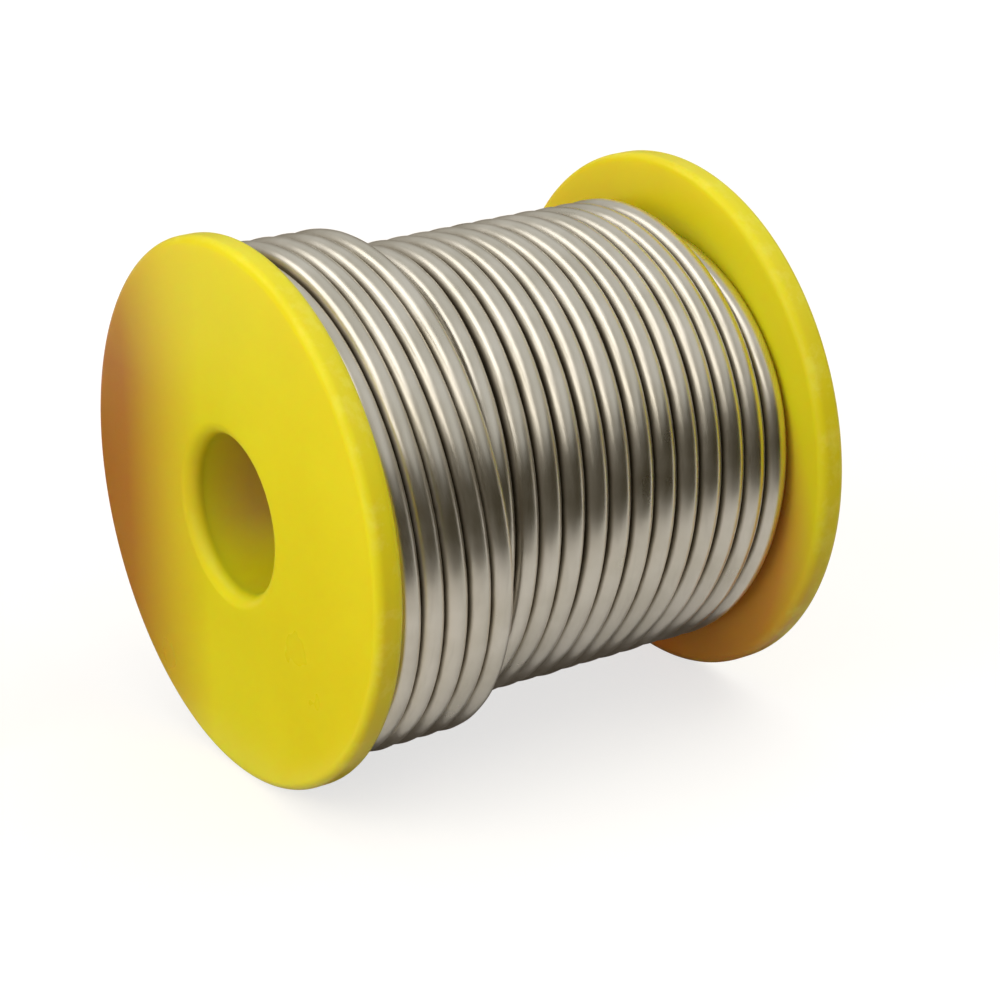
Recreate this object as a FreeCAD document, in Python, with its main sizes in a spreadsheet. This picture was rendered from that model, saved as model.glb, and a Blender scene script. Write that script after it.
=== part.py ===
import FreeCAD, Part
import math
import os
import Sketcher

# A solder wire spool: a reel of two moulded flanges pressed onto a core tube, and one
# continuous solder wire wound on it in layers.
# Frame: origin at the middle of the bore, spool axis along Y, +Z up. Millimetres.

SIZES = [
    ("flange_diameter", 65.0),
    ("flange_thickness", 3.6),
    ("rim_edge_radius", 1.1),
    ("inner_edge_radius", 1.1),
    ("bore_diameter", 19.0),
    ("bore_lip_radius", 1.7),
    ("bore_land", 0.2),
    ("core_diameter", 25.0),
    ("core_seat_depth", 1.5),
    ("inner_width", 57.4),
    ("wire_diameter", 3.0),
    ("turn_gap", 0.01),
    ("layer_gap", 0.02),
    ("side_gap", 0.05),
    ("rim_margin", 1.5),
    ("top_turns", 5.0),
    ("winding_phase", 35.0),
    ("free_end_gap", 0.3),
    ("free_end_spring_back", 3.58),
    ("free_end_sweep", 45.0),
]

doc = FreeCAD.newDocument("solder_wire_spool")
sheet = doc.addObject("Spreadsheet::Sheet", "Sizes")
for row, (alias, value) in enumerate(SIZES, start=1):
    sheet.set(f"A{row}", alias)
    sheet.set(f"B{row}", str(value))
    sheet.setAlias(f"B{row}", alias)
doc.recompute()

UP = FreeCAD.Vector(0, 0, 1)
AXIS = FreeCAD.Vector(0, 1, 0)
HALF_TURN = 180.0
sub_parts = []


def size(alias):
    """The value in the sheet under an alias."""
    return float(sheet.get(alias))


def origin_plane(body, role):
    """One of a body's own origin planes."""
    return next(item for item in body.Origin.OriginFeatures if item.Role == role)


def finish_part(item, label):
    """Name a sub-part after its file and keep it for export."""
    item.Label = label
    sub_parts.append(item)


# ---------------------------------------------------------------- reel

def profile_sketch(body, corners, name):
    """A closed outline in the body's XY plane: x is the radius, y the height on the axis.

    Each corner is a pair of sheet expressions, and a height of None lies on the x axis.
    """
    sketch = body.newObject("Sketcher::SketchObject", name)
    sketch.AttachmentSupport = [(origin_plane(body, "XY_Plane"), "")]
    sketch.MapMode = "FlatFace"
    values = [(sheet_value(x), sheet_value(y)) for x, y in corners]
    count = len(corners)
    for i in range(count):
        start = FreeCAD.Vector(*values[i], 0)
        end = FreeCAD.Vector(*values[(i + 1) % count], 0)
        sketch.addGeometry(Part.LineSegment(start, end), False)
    for i in range(count):
        sketch.addConstraint(Sketcher.Constraint("Coincident", i, 2, (i + 1) % count, 1))
    for i, (x, y) in enumerate(corners):
        place = sketch.addConstraint(Sketcher.Constraint("DistanceX", -1, 1, i, 1, values[i][0]))
        sketch.setExpression(f"Constraints[{place}]", x)
        if y is None:
            sketch.addConstraint(Sketcher.Constraint("PointOnObject", i, 1, -1))
            continue
        place = sketch.addConstraint(Sketcher.Constraint("DistanceY", -1, 1, i, 1, values[i][1]))
        sketch.setExpression(f"Constraints[{place}]", y)
    return sketch


def sheet_value(expression):
    """The number that a sheet expression gives now."""
    return 0.0 if expression is None else float(sheet.evalExpression(expression))


def revolve(body, sketch, name):
    """Turn a profile once round the spool axis."""
    turned = body.newObject("PartDesign::Revolution", name)
    turned.Profile = sketch
    turned.ReferenceAxis = (sketch, ["V_Axis"])
    turned.Angle = 360.0
    doc.recompute()
    return turned


def round_edge(body, base, radius_mm, height_mm, name, radius_expression):
    """Round the circular edge of a given radius at a given height on the axis."""
    names = []
    for i, edge in enumerate(base.Shape.Edges, start=1):
        circle = isinstance(edge.Curve, Part.Circle)
        if circle and abs(edge.Curve.Radius - radius_mm) < 1e-6 \
                and abs(edge.Curve.Center.y - height_mm) < 1e-6:
            names.append(f"Edge{i}")
    fillet = body.newObject("PartDesign::Fillet", f"{body.Name}_{name}")
    fillet.Base = (base, names)
    fillet.setExpression("Radius", radius_expression)
    body.Tip = fillet
    doc.recompute()
    return fillet


def flange(label, side):
    """A disc with a rounded rim, a bore with a rounded mouth and a socket for the core.

    It is drawn with its inner face at height 0 and turned to face the other flange.
    """
    body = doc.addObject("PartDesign::Body", label)
    corners = [
        ("Sizes.core_diameter / 2", None),
        ("Sizes.flange_diameter / 2", None),
        ("Sizes.flange_diameter / 2", "Sizes.flange_thickness"),
        ("Sizes.bore_diameter / 2", "Sizes.flange_thickness"),
        ("Sizes.bore_diameter / 2", "Sizes.core_seat_depth"),
        ("Sizes.core_diameter / 2", "Sizes.core_seat_depth"),
    ]
    disc = revolve(body, profile_sketch(body, corners, f"{label}_profile"), f"{label}_disc")
    rim = size("flange_diameter") / 2
    outer = size("flange_thickness")
    bore = size("bore_diameter") / 2
    bore_wall = "Sizes.flange_thickness - Sizes.core_seat_depth - Sizes.bore_land"
    rounded = round_edge(body, disc, rim, outer, "outer_edge", "Sizes.rim_edge_radius")
    rounded = round_edge(body, rounded, rim, 0.0, "inner_edge", "Sizes.inner_edge_radius")
    round_edge(body, rounded, bore, outer, "lip", f"min(Sizes.bore_lip_radius; {bore_wall})")
    if side < 0:
        body.Placement.Rotation = FreeCAD.Rotation(UP, HALF_TURN)
    body.setExpression("Placement.Base.y", f"{side} * Sizes.inner_width / 2")
    finish_part(body, label)


def core_tube():
    """The tube that the wire is wound on, its ends seated in both flanges' sockets."""
    body = doc.addObject("PartDesign::Body", "core_tube")
    corners = [
        ("Sizes.bore_diameter / 2", None),
        ("Sizes.core_diameter / 2", None),
        ("Sizes.core_diameter / 2", "Sizes.inner_width + 2 * Sizes.core_seat_depth"),
        ("Sizes.bore_diameter / 2", "Sizes.inner_width + 2 * Sizes.core_seat_depth"),
    ]
    revolve(body, profile_sketch(body, corners, "core_tube_profile"), "core_tube_wall")
    body.setExpression("Placement.Base.y", "-Sizes.inner_width / 2 - Sizes.core_seat_depth")
    finish_part(body, "core_tube")


# ---------------------------------------------------------------- solder wire
# The wire goes round in half turns that meet on one line through the axis, at the winding
# phase. Every half turn leaves and reaches that line square to it, so its arc is tangent to
# the next one whatever it climbs or shifts. Over the front it shifts by one turn; over the
# back it runs straight round, or climbs to the next layer when it lies against a flange.

wire_radius = size("wire_diameter") / 2
layer_step = size("wire_diameter") + size("layer_gap")
first_radius = size("core_diameter") / 2 + size("layer_gap") + wire_radius
side_limit = size("inner_width") / 2 - size("side_gap") - wire_radius
turns = math.floor(2 * side_limit / (size("wire_diameter") + size("turn_gap"))) + 1
turn_pitch = 2 * side_limit / (turns - 1)
room = size("flange_diameter") / 2 - size("rim_margin") - size("core_diameter") / 2
full_layers = math.floor(room / layer_step) - 1
phase = math.radians(size("winding_phase"))
front = FreeCAD.Vector(math.cos(phase), 0, math.sin(phase))
over_back = FreeCAD.Vector(-math.sin(phase), 0, math.cos(phase))


def layer_radius(layer):
    """Centre-line radius of a layer, counted from 1 on the core."""
    return first_radius + (layer - 1) * layer_step


def layer_stops(layer, turn_count, climbs):
    """Where the wire meets the phase line: (radius, height) at the front, the back, the front...

    Odd and even layers run opposite ways, so that the last full one ends at -Y.
    """
    way = -1 if (full_layers - layer) % 2 == 0 else 1
    height = -way * side_limit
    stops = [(layer_radius(layer), height)]
    for turn in range(1, turn_count + 1):
        height += way * turn_pitch
        stops.append((layer_radius(layer), height))
        last = turn == turn_count
        stops.append((layer_radius(layer + (1 if last and climbs else 0)), height))
    return stops


def stop_point(stops, i):
    """The point of a stop: even stops lie at the front, odd ones at the back."""
    radius, height = stops[i]
    return front * (radius if i % 2 == 0 else -radius) + AXIS * height


def half_turns(stops):
    """Tangent half circles through the stops, under the front and back over the top."""
    edges = []
    for i in range(len(stops) - 1):
        start = stop_point(stops, i)
        end = stop_point(stops, i + 1)
        crown = over_back * ((end - start).Length / 2 * (-1 if i % 2 == 0 else 1))
        edges.append(Part.Arc(start, (start + end) / 2 + crown, end).toShape())
    return Part.Wire(edges)


def swept_wire(name, path):
    """Round wire along a path that starts on the phase line."""
    spine = doc.addObject("Part::Feature", f"{name}_path")
    spine.Shape = path
    section = doc.addObject("Part::Circle", f"{name}_section")
    section.setExpression("Radius", "Sizes.wire_diameter / 2")
    turned = FreeCAD.Rotation(AXIS, -size("winding_phase"))
    section.Placement = FreeCAD.Placement(path.OrderedVertexes[0].Point, turned)
    sweep = doc.addObject("Part::Sweep", name)
    sweep.Sections = [section]
    sweep.Spine = (spine, [])
    sweep.Solid = True
    sweep.Frenet = True
    doc.recompute()
    return sweep


def wound_layers(label, first, last):
    """Full layers of wire, one after the other, each climbing to the next at its flange."""
    stops = []
    for layer in range(first, last + 1):
        stops += layer_stops(layer, turns - 1, True)[1 if stops else 0:]
    finish_part(swept_wire(f"{label}_wire", half_turns(stops)), label)


def ball(name, radius_expression, centre):
    """A ball at the point where the free end bends away."""
    sphere = doc.addObject("Part::Sphere", name)
    sphere.setExpression("Radius", radius_expression)
    sphere.Placement.Base = centre
    return sphere


def top_turns_and_free_end():
    """The turns of the unfinished top layer, and the end of the wire that lifts off them.

    The free end springs back to a wider curve than the layer that it comes off. It bends about
    a point on the phase line, and has a ball there that sits in a hollow at the end of the
    wound wire, with a gap all round.
    """
    stops = layer_stops(full_layers + 1, int(size("top_turns")), False)[:-1]
    gap = size("free_end_gap")
    radius, height = stops[-1]
    stops[-1] = (radius + gap, height + gap)
    root = stop_point(stops, len(stops) - 1)
    wound = swept_wire("wire_top_turns_wire", half_turns(stops))
    hollow = ball("free_end_hollow", "Sizes.wire_diameter / 2 + Sizes.free_end_gap", root)
    cut = doc.addObject("Part::Cut", "wire_top_turns_cut")
    cut.Base = wound
    cut.Tool = hollow
    finish_part(cut, "wire_top_turns")

    bend = radius + gap + size("free_end_spring_back")
    centre = root + front * bend
    sweep = math.radians(size("free_end_sweep"))
    points = [root]
    for share in (0.5, 1.0):
        angle = sweep * share
        points.append(centre - front * (bend * math.cos(angle)) + over_back * (bend * math.sin(angle)))
    path = Part.Wire([Part.Arc(*points).toShape()])
    tail = swept_wire("wire_free_end_wire", path)
    knuckle = ball("free_end_knuckle", "Sizes.wire_diameter / 2", root)
    joined = doc.addObject("Part::Fuse", "wire_free_end_joined")
    joined.Base = tail
    joined.Tool = knuckle
    finish_part(joined, "wire_free_end")
    return root


# ---------------------------------------------------------------- build

flange("near_flange", -1)
flange("far_flange", 1)
core_tube()
wound_layers("wire_first_layer", 1, 1)
wound_layers("wire_inner_layers", 2, full_layers - 1)
wound_layers("wire_outer_layer", full_layers, full_layers)
bend_point = top_turns_and_free_end()
doc.recompute()

for item in doc.Objects:
    if "Invalid" in item.State or "Error" in item.State:
        raise RuntimeError(f"{item.Name} did not build: {item.State}")
for item in sub_parts:
    if item.Shape.isNull() or not item.Shape.isValid() or not item.Shape.Solids:
        raise RuntimeError(f"{item.Label} has no valid shape")

os.makedirs("parts", exist_ok=True)
for item in sub_parts:
    item.Shape.exportStep(os.path.join("parts", f"{item.Label}.step"))
    print(f"{item.Label}: {len(item.Shape.Solids)} solid, {item.Shape.Volume:.1f} mm3")

print(f"{full_layers} full layers of {turns} turns at a pitch of {turn_pitch:.4f} mm")
print(f"free end bends about ({bend_point.x:.4f}, {bend_point.y:.4f}, {bend_point.z:.4f})")
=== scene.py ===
"""Looks of the solder wire spool: yellow moulded reel, solder wire wound in layers.

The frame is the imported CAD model: spool axis along Y, +Z up, metres. Sizes below are in
millimetres and become metres through MM. Angles are in degrees.
"""

import math

import bpy
import numpy as np
from mathutils import Matrix, Vector


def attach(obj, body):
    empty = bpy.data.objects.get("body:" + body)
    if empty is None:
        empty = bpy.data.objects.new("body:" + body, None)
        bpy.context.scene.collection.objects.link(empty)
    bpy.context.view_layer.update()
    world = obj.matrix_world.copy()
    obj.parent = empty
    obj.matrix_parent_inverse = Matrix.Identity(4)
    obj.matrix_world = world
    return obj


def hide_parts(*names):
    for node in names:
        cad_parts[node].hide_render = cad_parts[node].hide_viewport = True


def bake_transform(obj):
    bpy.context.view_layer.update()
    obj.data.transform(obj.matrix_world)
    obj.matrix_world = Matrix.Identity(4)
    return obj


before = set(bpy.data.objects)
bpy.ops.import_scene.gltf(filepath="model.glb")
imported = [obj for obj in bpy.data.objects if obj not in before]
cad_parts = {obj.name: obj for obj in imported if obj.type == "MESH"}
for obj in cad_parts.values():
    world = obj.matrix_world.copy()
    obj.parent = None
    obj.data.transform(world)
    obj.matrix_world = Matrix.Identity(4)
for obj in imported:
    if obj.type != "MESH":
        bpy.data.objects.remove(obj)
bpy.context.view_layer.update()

MM = 0.001

# reel
RIM = 32.5                  # flange radius
HALF_WIDTH = 32.3           # outer faces of the flanges
INNER_FACE = 28.7           # inner faces of the flanges
SEAT = 30.2                 # ends of the core tube in its sockets
BORE = 9.5
CORE = 12.5
LIP = 1.7                   # rounding of the bore mouth
RIM_ROUND = 1.1             # rounding of a flange's outer and inner edges
OUT_OF_ROUND = 0.03         # how far the moulding strays at the rim
OUT_OF_FLAT = 0.04
LATHE_SEGMENTS = 288
SHARP_ANGLE = 40            # edges that turn by more are shaded sharp

# wire
WIRE_R = 1.5
WIRE_SLACK = 0.012          # drawn thinner than in the CAD by this, and uneven by WIRE_UNEVEN
WIRE_UNEVEN = 0.006
PITCH = 3.0167
SIDE = 27.15                # wire centre line nearest to a flange
R_SECOND = 17.04            # centre-line radii: second layer, step to the next, last full layer
LAYER_STEP = 3.02
R_LAYER = 26.10
R_TOP = 28.98               # the unfinished top layer beds a little into the turns under it
R_ROOT = 29.42              # where the free end leaves, clear of its neighbours
ROOT_GAP = 0.3
PHASE = 35.0                # angle at which the CAD's layers start
LAYER_TURNS = 18            # turns from one flange to the other
FIRST_LAYER = -3            # the second layer, counted from the last full one
UNDER_CROSSING = -55        # where and over what arc the wire crosses by a pitch: lower layers,
UNDER_WIDTH = 180
OUTER_CROSSING = -22        # last full layer, a little later each turn,
OUTER_DRIFT = 6.0
OUTER_WIDTH = 120
TOP_CROSSING = -25          # and the top turns
TOP_WIDTH = 140
TOP_CROSSINGS = 5
TOP_END = 22.5              # turns at the free end's root
CLIMB = (-0.5, 0)           # turns over which the wire climbs to a layer, from the layer's start
LATE_CLIMB = (-0.19, 0.06)  # the same for the last full layer, as in the photograph
ROOT_RISE = 0.12            # turns over which the wire rises towards the root, before the tail
WANDER = 0.05               # how far loose turns stray
TAIL_START = TOP_END - 35.0 / 360
TAIL_BEND = 33.0            # radius and angle of the sprung-back free end
TAIL_SWEEP = 45.0
TAIL_POINTS = 28
NIP_LENGTH = 1.6            # the cutters' bite at the tip
NIP_FLAT = 0.72
NIP_SPREAD = 0.12
PER_TURN = 180              # mesh rows a turn and points round the wire
SIDES = 20
UNDER_PER_TURN = 90
UNDER_SIDES = 12
FIRST_SEEN = -2             # turns before this lie out of sight under the last full layer


# ---------------------------------------------------------------- camera

def add_camera():
    """The photograph's view; distance and offsets are in flange radii."""
    azimuth, elevation, roll = math.radians(56.12), math.radians(21.78), math.radians(0.4155)
    distance, aside, above = 10.947, 0.1341, -0.1527
    sensor, lens_in_sensors = 36.0, 2.9652
    back = Vector((math.sin(azimuth) * math.cos(elevation),
                   -math.cos(azimuth) * math.cos(elevation), math.sin(elevation)))
    right = Vector((math.cos(azimuth), math.sin(azimuth), 0))
    up = back.cross(right)
    data = bpy.data.cameras.new("camera")
    data.sensor_width = sensor
    data.lens = lens_in_sensors * sensor
    data.clip_start = 0.01
    camera = bpy.data.objects.new("camera", data)
    tilted_right = right * math.cos(roll) - up * math.sin(roll)
    tilted_up = right * math.sin(roll) + up * math.cos(roll)
    turn = Matrix((tilted_right, tilted_up, back)).transposed().to_4x4()
    place = (back * distance + right * aside + up * above) * RIM * MM
    camera.matrix_world = Matrix.Translation(place) @ turn
    bpy.context.collection.objects.link(camera)
    bpy.context.scene.camera = camera


add_camera()


# ---------------------------------------------------------------- mesh helpers

def mesh_object(name, points, quads, tips=()):
    """A smooth mesh from an array of points in mm, an array of quads and a list of end faces."""
    mesh = bpy.data.meshes.new(name)
    faces = [tuple(int(i) for i in q) for q in quads] + [tuple(t) for t in tips]
    mesh.from_pydata((np.asarray(points) * MM).tolist(), [], faces)
    mesh.polygons.foreach_set("use_smooth", [True] * len(mesh.polygons))
    mesh.update()
    piece = bpy.data.objects.new(name, mesh)
    bpy.context.collection.objects.link(piece)
    return piece


def grid_quads(rows, columns, wrap_rows):
    """Quads of a grid of points whose columns close on themselves, and its rows too if asked."""
    a, b = np.meshgrid(np.arange(rows if wrap_rows else rows - 1), np.arange(columns), indexing="ij")
    next_a, next_b = (a + 1) % rows, (b + 1) % columns
    corners = [a * columns + b, a * columns + next_b, next_a * columns + next_b, next_a * columns + b]
    return np.stack(corners, -1).reshape(-1, 4)


def ripple(x, seed, count, lowest, highest):
    """A smooth wandering value between about -1 and 1, the same each run."""
    rng = np.random.default_rng(seed)
    total = np.zeros_like(x)
    for _ in range(count):
        rate, shift = rng.uniform(lowest, highest), rng.uniform(0, 2 * math.pi)
        total += np.sin(x * rate + shift)
    return total / math.sqrt(count)


# ---------------------------------------------------------------- reel

def arc(cx, cy, radius, start, end, steps):
    """Points of a quarter round in the (radius, height) plane."""
    return [(cx + radius * math.cos(math.radians(a)), cy + radius * math.sin(math.radians(a)))
            for a in np.linspace(start, end, steps)]


def line(a, b, steps):
    """Points between two corners, without the corners."""
    return [(a[0] + (b[0] - a[0]) * k / steps, a[1] + (b[1] - a[1]) * k / steps)
            for k in range(1, steps)]


def lathe(name, outline, seed):
    """A closed outline of (radius, height) points turned about Y, very slightly out of true."""
    outline = np.array(outline)
    turn = np.linspace(0, 2 * math.pi, LATHE_SEGMENTS, endpoint=False)
    radius, height = outline[:, :1], outline[:, 1:]
    waver = np.zeros((1, LATHE_SEGMENTS))
    for k in range(2, 6):
        rng = np.random.default_rng(seed + k)
        waver = waver + np.sin(k * turn + rng.uniform(0, 6.28))[None, :] / 4
    outward = np.clip((radius - CORE) / (RIM - CORE), 0, 1)
    r = radius - outward * OUT_OF_ROUND * (1 + waver)
    y = height - np.sign(height) * outward * OUT_OF_FLAT * (1 + waver)
    points = np.stack([r * np.cos(turn), y, r * np.sin(turn)], -1).reshape(-1, 3)
    piece = mesh_object(name, points, grid_quads(len(outline), LATHE_SEGMENTS, True))
    piece.data.set_sharp_from_angle(angle=math.radians(SHARP_ANGLE))
    return piece


def flange_outline(side):
    """Outline of a flange: bore lip, face, rim, inner face, socket for the core tube."""
    out, inn = HALF_WIDTH, INNER_FACE
    points = arc(BORE + LIP, out - LIP, LIP, 180, 90, 16)
    points += line(points[-1], (RIM - RIM_ROUND, out), 24)
    points += arc(RIM - RIM_ROUND, out - RIM_ROUND, RIM_ROUND, 90, 0, 12)
    points += line((RIM, out - RIM_ROUND), (RIM, inn + RIM_ROUND), 5)
    points += arc(RIM - RIM_ROUND, inn + RIM_ROUND, RIM_ROUND, 0, -90, 7)
    points += line(points[-1], (CORE, inn), 20)
    points += [(CORE, inn)] + line((CORE, inn), (CORE, SEAT), 3) + [(CORE, SEAT)]
    points += line((CORE, SEAT), (BORE, SEAT), 4) + [(BORE, SEAT)]
    return [(r, side * y) for r, y in (points if side < 0 else points[::-1])]


def core_outline():
    """Outline of the core tube."""
    points = [(CORE, -SEAT)] + line((CORE, -SEAT), (CORE, SEAT), 24) + [(CORE, SEAT)]
    points += line((CORE, SEAT), (BORE, SEAT), 4) + [(BORE, SEAT)]
    points += line((BORE, SEAT), (BORE, -SEAT), 24) + [(BORE, -SEAT)]
    points += line((BORE, -SEAT), (CORE, -SEAT), 4)
    return points


# ---------------------------------------------------------------- wire

def step(x):
    """From 0 to 1 with level ends."""
    x = np.clip(x, 0, 1)
    return x * x * (3 - 2 * x)


def crossings(turns, first, count, middle, drift, width):
    """How many pitches the wire has moved along the reel after so many turns.

    It crosses to the next place once a turn, over width degrees about the angle middle, which
    moves on by drift each turn.
    """
    total = np.zeros_like(turns)
    for k in range(count):
        crossing = first + k + (PHASE - (middle + drift * k)) / 360
        total += step((turns - crossing) * 360 / width + 0.5)
    return total


def wire_line(turns):
    """Centre line of the wire, in mm, after so many turns from the start of the last full layer.

    Turns before that are the layers under it, back to the second. The wire crosses by one pitch
    a turn, one way in one layer and the other way in the next, and climbs at the flanges.
    """
    y = np.full_like(turns, -SIDE)
    r = np.full_like(turns, R_SECOND)
    for layer in range(FIRST_LAYER, 1):
        first = layer * LAYER_TURNS
        way = 1 if layer % 2 else -1
        place = (OUTER_CROSSING, OUTER_DRIFT, OUTER_WIDTH) if layer == 0 else (UNDER_CROSSING, 0, UNDER_WIDTH)
        y += way * PITCH * crossings(turns, first, LAYER_TURNS, *place)
        if layer > FIRST_LAYER:
            start, end = LATE_CLIMB if layer == 0 else CLIMB
            r += LAYER_STEP * step((turns - first - start) / (end - start))
    y += PITCH * crossings(turns, LAYER_TURNS, TOP_CROSSINGS, TOP_CROSSING, 0, TOP_WIDTH)
    r += (R_TOP - R_LAYER) * step((turns - LAYER_TURNS - CLIMB[0]) / (CLIMB[1] - CLIMB[0]))
    root_share = step((turns - TAIL_START + ROOT_RISE) / (TOP_END - TAIL_START + ROOT_RISE))
    r += (R_ROOT - R_TOP) * root_share
    y += ROOT_GAP * root_share
    loose = step((turns - 0.1) / 0.2) * (1 - step((turns - TAIL_START + 0.3) / 0.25))
    path = turns * 2 * math.pi
    y += WANDER * ripple(path, 11, 6, 0.25, 2.3) * loose
    r += WANDER * ripple(path, 23, 6, 0.35, 3.1) * loose
    angle = np.radians(PHASE - 360 * turns)
    return np.stack([r * np.cos(angle), y, r * np.sin(angle)], -1)


def tail_line():
    """The free end, from the root on a wider curve, with its root and the way it leaves it."""
    front = np.array((math.cos(math.radians(PHASE)), 0, math.sin(math.radians(PHASE))))
    crown = np.array((-front[2], 0, front[0]))
    root = -front * R_ROOT + np.array((0, -SIDE + TOP_CROSSINGS * PITCH + ROOT_GAP, 0))
    centre = root + front * TAIL_BEND
    a = np.radians(np.linspace(0, TAIL_SWEEP, TAIL_POINTS))[1:, None]
    return centre - front * TAIL_BEND * np.cos(a) + crown * TAIL_BEND * np.sin(a), root, crown


def tube(name, path, sides, seed, cut_end):
    """Round wire along a path, with ends closed, and the last one nipped off by cutters."""
    ahead = np.gradient(path, axis=0)
    ahead /= np.linalg.norm(ahead, axis=1)[:, None]
    outward = path * np.array((1, 0, 1))
    outward -= (outward * ahead).sum(1)[:, None] * ahead
    outward /= np.linalg.norm(outward, axis=1)[:, None]
    across = np.cross(ahead, outward)
    length = np.concatenate([[0], np.cumsum(np.linalg.norm(np.diff(path, axis=0), axis=1))])
    radius = WIRE_R - WIRE_SLACK + WIRE_UNEVEN * ripple(length, seed, 5, 0.2, 1.7)
    tall, wide = np.ones(len(path)), np.ones(len(path))
    if cut_end:
        nip = step(1 - (length[-1] - length) / NIP_LENGTH)
        tall, wide = 1 - NIP_FLAT * nip, 1 + NIP_SPREAD * nip
    turn = np.linspace(0, 2 * math.pi, sides, endpoint=False)
    points = (path[:, None, :]
              + (radius * tall)[:, None, None] * np.cos(turn)[None, :, None] * outward[:, None, :]
              + (radius * wide)[:, None, None] * np.sin(turn)[None, :, None] * across[:, None, :])
    rows = len(path)
    tips = [list(range(sides))[::-1], [(rows - 1) * sides + k for k in range(sides)]]
    piece = mesh_object(name, points.reshape(-1, 3), grid_quads(rows, sides, False)[:, ::-1], tips)
    piece.data.set_sharp_from_angle(angle=math.radians(SHARP_ANGLE))

    # 0 along the top of the wire, 1 at its sides, where the turns touch and shade is painted
    groove = piece.data.attributes.new("groove", "FLOAT", "POINT")
    groove.data.foreach_set("value", np.tile(1 - np.cos(turn), rows).astype(np.float32))
    return piece


# ---------------------------------------------------------------- materials

class Nodes:
    """Short way to write a node material, shaded or simply glowing."""

    def __init__(self, name, glowing=False):
        self.material = bpy.data.materials.new(name)
        self.material.use_nodes = True
        self.tree = self.material.node_tree
        self.shader = self.tree.nodes["Principled BSDF"]
        if glowing:
            self.tree.nodes.remove(self.shader)
            self.shader = self.tree.nodes.new("ShaderNodeEmission")
            self.link(self.shader.outputs[0], self.tree.nodes["Material Output"].inputs["Surface"])

    def add(self, kind, **values):
        """A node; each value goes to its property of that name, or else to its input."""
        node = self.tree.nodes.new(kind)
        for key, value in values.items():
            if hasattr(node, key):
                setattr(node, key, value)
            else:
                node.inputs[key.replace("_", " ")].default_value = value
        return node

    def link(self, source, target):
        self.tree.links.new(source, target)

    def put(self, value, socket):
        """Link an output to an input, or set the input to a plain value."""
        if hasattr(value, "links"):
            self.link(value, socket)
        else:
            socket.default_value = value

    def noise(self, where, scale, detail=3.0, roughness=0.5):
        node = self.add("ShaderNodeTexNoise", Scale=scale, Detail=detail, Roughness=roughness)
        self.link(where, node.inputs["Vector"])
        return node.outputs["Fac"]

    def spread(self, value, low, high, to_low, to_high):
        """Value from low to high becomes to_low to to_high, clamped."""
        node = self.add("ShaderNodeMapRange", From_Min=low, From_Max=high, To_Min=to_low, To_Max=to_high)
        self.link(value, node.inputs["Value"])
        return node.outputs["Result"]

    def mix(self, share, a, b):
        node = self.add("ShaderNodeMix", data_type="RGBA")
        for index, value in ((0, share), (6, a), (7, b)):
            self.put(value, node.inputs[index])
        return node.outputs[2]

    def math(self, operation, a, b=0.0):
        node = self.add("ShaderNodeMath", operation=operation)
        for index, value in enumerate((a, b)):
            self.put(value, node.inputs[index])
        return node.outputs[0]

    def vector(self, operation, where, output):
        node = self.add("ShaderNodeVectorMath", operation=operation)
        self.link(where, node.inputs[0])
        return node.outputs[output]

    def apart(self, where):
        node = self.add("ShaderNodeSeparateXYZ")
        self.link(where, node.inputs[0])
        return node.outputs

    def stretched(self, where, scale):
        node = self.add("ShaderNodeMapping", Scale=scale)
        self.link(where, node.inputs["Vector"])
        return node.outputs["Vector"]

    def bump(self, height, strength, distance, under=None):
        node = self.add("ShaderNodeBump", Strength=strength, Distance=distance)
        self.link(height, node.inputs["Height"])
        if under is not None:
            self.link(under, node.inputs["Normal"])
        return node.outputs["Normal"]

    def set(self, **values):
        for key, value in values.items():
            self.shader.inputs[key.replace("_", " ")].default_value = value

    def feed(self, key, source):
        self.link(source, self.shader.inputs[key])


X, Y, Z = 0, 1, 2
YELLOWS = (0.70, 0.61, 0.012, 1), (0.74, 0.66, 0.014, 1)
WORN_YELLOW = (0.83, 0.77, 0.12, 1)
SOLDERS = (0.72, 0.68, 0.59, 1), (0.83, 0.79, 0.71, 1)
SCUFFED_SOLDER = (0.60, 0.57, 0.50, 1)
# painted shade between the turns of wire, where they touch
GROOVE_SHADE = (0.24, 0.20, 0.14, 1)
WORN_BAND = 0.8             # how far in from the rim the plastic is worn


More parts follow.
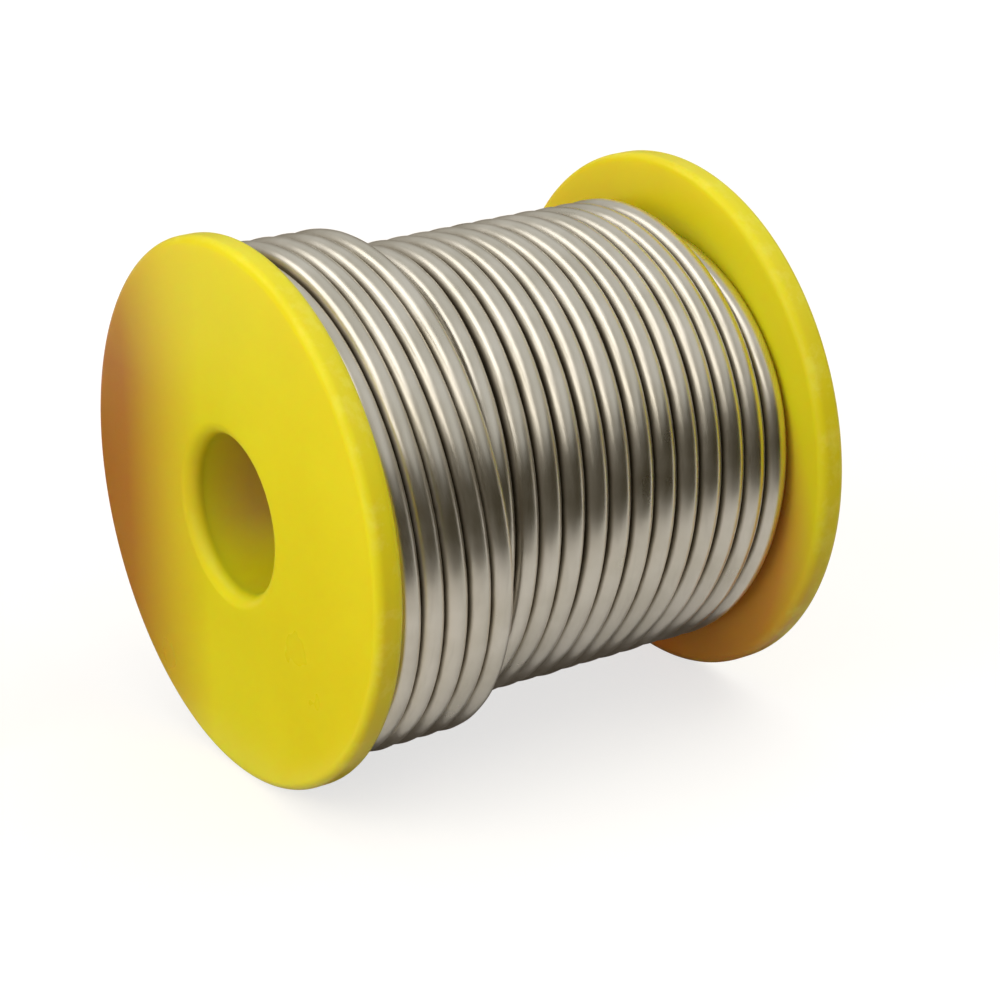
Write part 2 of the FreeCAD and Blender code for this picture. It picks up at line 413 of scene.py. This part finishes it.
def plastic_material(name, painted_shade_colour, axis, start, end, also=None, drift=0.0):
    """Yellow moulded plastic: slightly uneven colour, satin skin, hairline scratches, worn rim, painted
    shade.

    Painted shade: the plastic darkens to brown along one axis, between two places in mm. A second (axis,
    start, end) has to be met as well. With drift the first place moves with the radius, from the winding.
    """
    n = Nodes(name)
    where = n.add("ShaderNodeTexCoord").outputs["Object"]
    clouds = n.noise(where, 45, 4)
    fine = n.noise(where, 420, 3)
    pigment_and_shade = n.mix(n.spread(clouds, 0.35, 0.65, 0, 1), *YELLOWS)

    place = n.apart(where)
    radius = n.math("SQRT", n.math("ADD", n.math("MULTIPLY", place[X], place[X]),
                                   n.math("MULTIPLY", place[Z], place[Z])))
    winding = 28 * MM
    along = n.math("ADD", place[axis], n.math("MULTIPLY", n.math("SUBTRACT", radius, winding), drift))
    # painted shade: brown mixed into the yellow by place along an axis, where shade falls
    brown = n.spread(along, start * MM, end * MM, 0, 1)
    if also:
        other, other_start, other_end = also
        brown = n.math("MULTIPLY", brown, n.spread(place[other], other_start * MM, other_end * MM, 0, 1))
    brown = n.math("MULTIPLY", brown, n.spread(clouds, 0.25, 0.75, 0.85, 1.0))
    pigment_and_shade = n.mix(brown, pigment_and_shade, painted_shade_colour)
    edge = n.spread(radius, (RIM - WORN_BAND) * MM, RIM * MM, 0, 1)
    scuffs = n.spread(n.noise(where, 260, 5, 0.65), 0.5, 0.68, 0, 0.5)
    worn = n.math("MULTIPLY", edge, scuffs)
    n.feed("Base Color", n.mix(worn, pigment_and_shade, WORN_YELLOW))

    lines = n.noise(n.stretched(where, (60, 60, 2600)), 1, 2)
    others = n.noise(n.stretched(where, (2300, 60, 90)), 1, 2)
    hairlines = n.math("ADD", n.spread(lines, 0.70, 0.76, 0, 1), n.spread(others, 0.71, 0.77, 0, 1))
    rough = n.math("ADD", n.spread(clouds, 0.3, 0.7, 0.27, 0.36), n.math("MULTIPLY", worn, 0.3))
    n.feed("Roughness", n.math("ADD", rough, n.math("MULTIPLY", hairlines, 0.12)))
    skin = n.bump(fine, 0.10, 0.00015)
    n.feed("Normal", n.bump(hairlines, -0.12, 0.00006, skin))
    n.set(IOR=1.5, Specular_IOR_Level=0.22)
    n.set(Subsurface_Weight=0.35, Subsurface_Radius=(1.0, 0.3, 0.03), Subsurface_Scale=0.006)
    return n.material


def solder_material(name, grooves):
    """Bright drawn solder: lines along the wire, dull patches, small scuffs, painted shade in the grooves."""
    n = Nodes(name)
    where = n.add("ShaderNodeTexCoord").outputs["Object"]
    patches = n.noise(where, 160, 3)
    tone = n.mix(n.spread(patches, 0.35, 0.65, 0, 1), *SOLDERS)
    scuff = n.spread(n.noise(n.stretched(where, (170, 1300, 170)), 1, 2, 0.5), 0.55, 0.75, 0, 1)
    colour = n.mix(n.math("MULTIPLY", scuff, 0.22), tone, SCUFFED_SOLDER)
    rough = n.spread(patches, 0.3, 0.7, 0.27, 0.35)
    rough = n.math("ADD", rough, n.math("MULTIPLY", scuff, 0.05))
    # painted shade where the turns touch: a darker colour there, and rougher
    if grooves:
        groove_shade = n.add("ShaderNodeAttribute", attribute_name="groove").outputs["Fac"]
        groove_shade = n.math("ADD", groove_shade, n.spread(n.noise(where, 200, 2), 0.3, 0.7, -0.06, 0.06))
        groove_shade = n.spread(groove_shade, 0.37, 0.78, 0, 1)
        colour = n.mix(groove_shade, colour, GROOVE_SHADE)
        rough = n.math("ADD", rough, n.math("MULTIPLY", groove_shade, 0.35))
    n.feed("Base Color", colour)
    n.feed("Roughness", rough)
    drawn = n.noise(n.stretched(where, (120, 3200, 120)), 1, 3)
    n.feed("Normal", n.bump(drawn, 0.16, 0.00008))
    n.set(Metallic=1.0)
    return n.material


# ---------------------------------------------------------------- pieces

def add_reel():
    """Both flanges and the core tube, with painted shade: brown at the near flange's left side, low on the
    far flange's inner face and deep in the bore.
    """
    # painted shade: each part's brown colour and the places where it is painted
    near = plastic_material("yellow_near_flange", (0.46, 0.175, 0.035, 1), X, -5.5, -25, (Z, 43, 11))
    far = plastic_material("yellow_far_flange", (0.72, 0.32, 0.06, 1), Z, 8, -12, (Y, 31.5, 30), 3.5)
    core = plastic_material("yellow_core_tube", (0.60, 0.39, 0.08, 1), Y, -31, -24, (Z, -9, -4))
    for node, outline, seed, material in (
            ("near_flange", flange_outline(-1), 3, near),
            ("far_flange", flange_outline(1), 8, far),
            ("core_tube", core_outline(), 5, core)):
        piece = lathe("reel_" + node, outline, seed)
        piece.data.materials.append(material)
        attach(piece, "reel")
        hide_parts(node)


def add_wire():
    """The wire from the second layer on; the CAD's first layer stays, out of sight."""
    solder = solder_material("solder_bright_metal", True)
    under = np.arange(FIRST_LAYER * LAYER_TURNS * UNDER_PER_TURN,
                      FIRST_SEEN * UNDER_PER_TURN + 1) / UNDER_PER_TURN
    wound = np.arange(FIRST_SEEN * PER_TURN, round(TAIL_START * PER_TURN) + 1) / PER_TURN
    for name, turns, sides, replaced in (
            ("solder_wire_under", under, UNDER_SIDES, ("wire_inner_layers",)),
            ("solder_wire_wound", wound, SIDES, ("wire_outer_layer", "wire_top_turns"))):
        winding = tube(name, wire_line(turns), sides, 31, False)
        winding.data.materials.append(solder)
        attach(winding, "reel")
        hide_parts(*replaced)

    last = np.arange(round(TAIL_START * PER_TURN), round(TOP_END * PER_TURN) + 1) / PER_TURN
    free_part, root, crown = tail_line()
    tail = tube("solder_wire_free_end", np.concatenate([wire_line(last), free_part]), SIDES, 37, True)
    tail.data.materials.append(solder)
    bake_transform(tail)
    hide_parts("wire_free_end")

    first_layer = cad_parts["wire_first_layer"]
    first_layer.data.materials.clear()
    first_layer.data.materials.append(solder_material("solder_inner_metal", False))


add_reel()
add_wire()


# ---------------------------------------------------------------- studio

def add_floor():
    """A plain pale sheet under the spool, white to the camera and keeping its shadow."""
    reach = 1500
    corners = [(-reach, -reach, -RIM), (reach, -reach, -RIM), (reach, reach, -RIM), (-reach, reach, -RIM)]
    floor = mesh_object("floor", corners, [(0, 1, 2, 3)])
    n = Nodes("floor_paper")
    n.set(Base_Color=(0.38, 0.36, 0.34, 1), Roughness=0.9, Specular_IOR_Level=0.2)
    distance = n.vector("LENGTH", n.add("ShaderNodeTexCoord").outputs["Object"], "Value")
    ray = n.add("ShaderNodeLightPath").outputs
    glow = n.math("MULTIPLY", ray["Is Camera Ray"], n.spread(distance, 0.25, 0.7, 0.70, 1.0))
    for kind in ("Is Glossy Ray", "Is Transmission Ray"):
        glow = n.math("ADD", n.math("MULTIPLY", ray[kind], 0.20), glow)
    n.set(Emission_Color=(1, 1, 1, 1))
    n.feed("Emission Strength", glow)
    floor.data.materials.append(n.material)


def add_world():
    """Plain white, seen wherever nothing else is."""
    world = bpy.data.worlds.new("studio")
    bpy.context.scene.world = world
    world.use_nodes = True
    back = world.node_tree.nodes["Background"]
    back.inputs["Color"].default_value = (1, 1, 1, 1)
    back.inputs["Strength"].default_value = 1.0


def add_tent():
    """A light tent over the spool: brown-grey low down and in front, pale above and behind."""
    reach, around, rings, top_angle = 1400, 48, 10, 88
    points = []
    for height in np.radians(np.linspace(0, top_angle, rings)):
        for turn in np.linspace(0, 2 * math.pi, around, endpoint=False):
            points.append((reach * math.cos(height) * math.cos(turn),
                           reach * math.cos(height) * math.sin(turn), reach * math.sin(height) - RIM))
    top = [(rings - 1) * around + k for k in range(around)]
    tent = mesh_object("tent", points, grid_quads(rings, around, False), [top])
    n = Nodes("tent_cloth", glowing=True)
    toward = n.apart(n.vector("NORMALIZE", n.add("ShaderNodeTexCoord").outputs["Object"], "Vector"))
    height = n.spread(toward[Z], 0.05, 0.5, 0, 1)
    behind = n.spread(toward[Y], -0.45, 0.25, 0.45, 1)
    low, high = (0.16, 0.125, 0.075, 1), (0.61, 0.61, 0.585, 1)
    n.feed("Color", n.mix(n.math("MULTIPLY", height, behind), low, high))
    n.set(Strength=1.0)
    tent.data.materials.append(n.material)
    tent.visible_camera = False


def add_lamp(name, place, aim, width, height, radiance, colour):
    """A soft box: place and aim in mm, radiance on the scale where 1 is white."""
    data = bpy.data.lights.new(name, "AREA")
    data.shape = "RECTANGLE"
    data.size, data.size_y = width * MM, height * MM
    data.energy = radiance * math.pi * data.size * data.size_y
    data.color = colour
    lamp = bpy.data.objects.new(name, data)
    direction = Vector(aim) - Vector(place)
    lamp.rotation_euler = direction.to_track_quat("-Z", "Y").to_euler()
    lamp.location = Vector(place) * MM
    lamp.visible_camera = False
    bpy.context.collection.objects.link(lamp)
    return lamp


def add_lamps():
    """Broad lamps that light the plastic, one long lamp for the wire's streaks, a front box for both."""
    for lamp in (
            add_lamp("ceiling", (0, 260, 520), (0, 260, 0), 1000, 900, 0.62, (0.98, 1, 1)),
            add_lamp("key_above", (180, 230, 430), (0, 0, 0), 300, 240, 1.15, (1, 0.985, 0.95)),
            add_lamp("key_front", (10, -390, 330), (0, 0, 0), 300, 300, 2.85, (0.94, 1, 0.96)),
            add_lamp("low_fill", (60, -430, 0), (0, 0, -5), 360, 260, 1.3, (0.97, 1, 0.97)),
            add_lamp("warm_side", (-330, -220, 20), (-20, 0, 0), 200, 200, 4, (1, 0.2, 0.04))):
        lamp.visible_glossy = False
    streak = add_lamp("streak", (-150, -250, 430), (-150, 0, 0), 800, 220, 1.55, (1, 0.98, 0.94))
    streak.visible_diffuse = False
    add_lamp("front_box", (130, -450, 160), (0, 0, -10), 620, 340, 1.5, (1, 0.955, 0.87))


def card(name, corners, colour, only_shadow=False):
    """A card from a strip of bottom and top corners in mm: it casts a shadow, or shows in the metal."""
    count = len(corners) // 2
    quads = [(2 * k, 2 * k + 2, 2 * k + 3, 2 * k + 1) for k in range(count - 1)]
    piece = mesh_object(name, corners, quads)
    n = Nodes(name + "_surface", glowing=True)
    n.set(Color=colour, Strength=1.0)
    piece.data.materials.append(n.material)
    piece.visible_camera = False
    piece.visible_diffuse = False
    piece.visible_glossy = not only_shadow
    piece.visible_shadow = only_shadow


def add_cards():
    """The dark things round the spool that the photograph's wire mirrors, and a flag at the left."""
    flag_y, flag_end = -56, -21
    card("left_flag", [(x, flag_y, z) for x in (-110, flag_end) for z in (-32, 80)], (0, 0, 0, 1), True)

    radius, top, first, last, spacing = 112, 50, -115, 50, 5
    ring = []
    for azimuth in range(first, last + 1, spacing):
        x, y = radius * math.cos(math.radians(azimuth)), radius * math.sin(math.radians(azimuth))
        ring += [(x, y, -RIM + 0.5), (x, y, top)]
    card("dark_flag", ring, (0.035, 0.028, 0.014, 1))

    lift = -RIM + 0.4
    for name, x_ends, y_ends, colour in (
            ("dark_mat", (-135, 5), (-135, -36), (0.05, 0.04, 0.02, 1)),
            # under the spool, a dark sheet seen only in the metal: painted shadow, standing in for the
            # spool's own shadow on the floor
            ("painted_shadow_mat", (-60, 18), (-28, 60), (0.06, 0.05, 0.04, 1))):
        card(name, [(x, y, lift) for x in x_ends for y in y_ends], colour)


add_floor()
add_world()
add_tent()
add_lamps()
add_cards()

bpy.context.scene.view_settings.view_transform = "Standard"
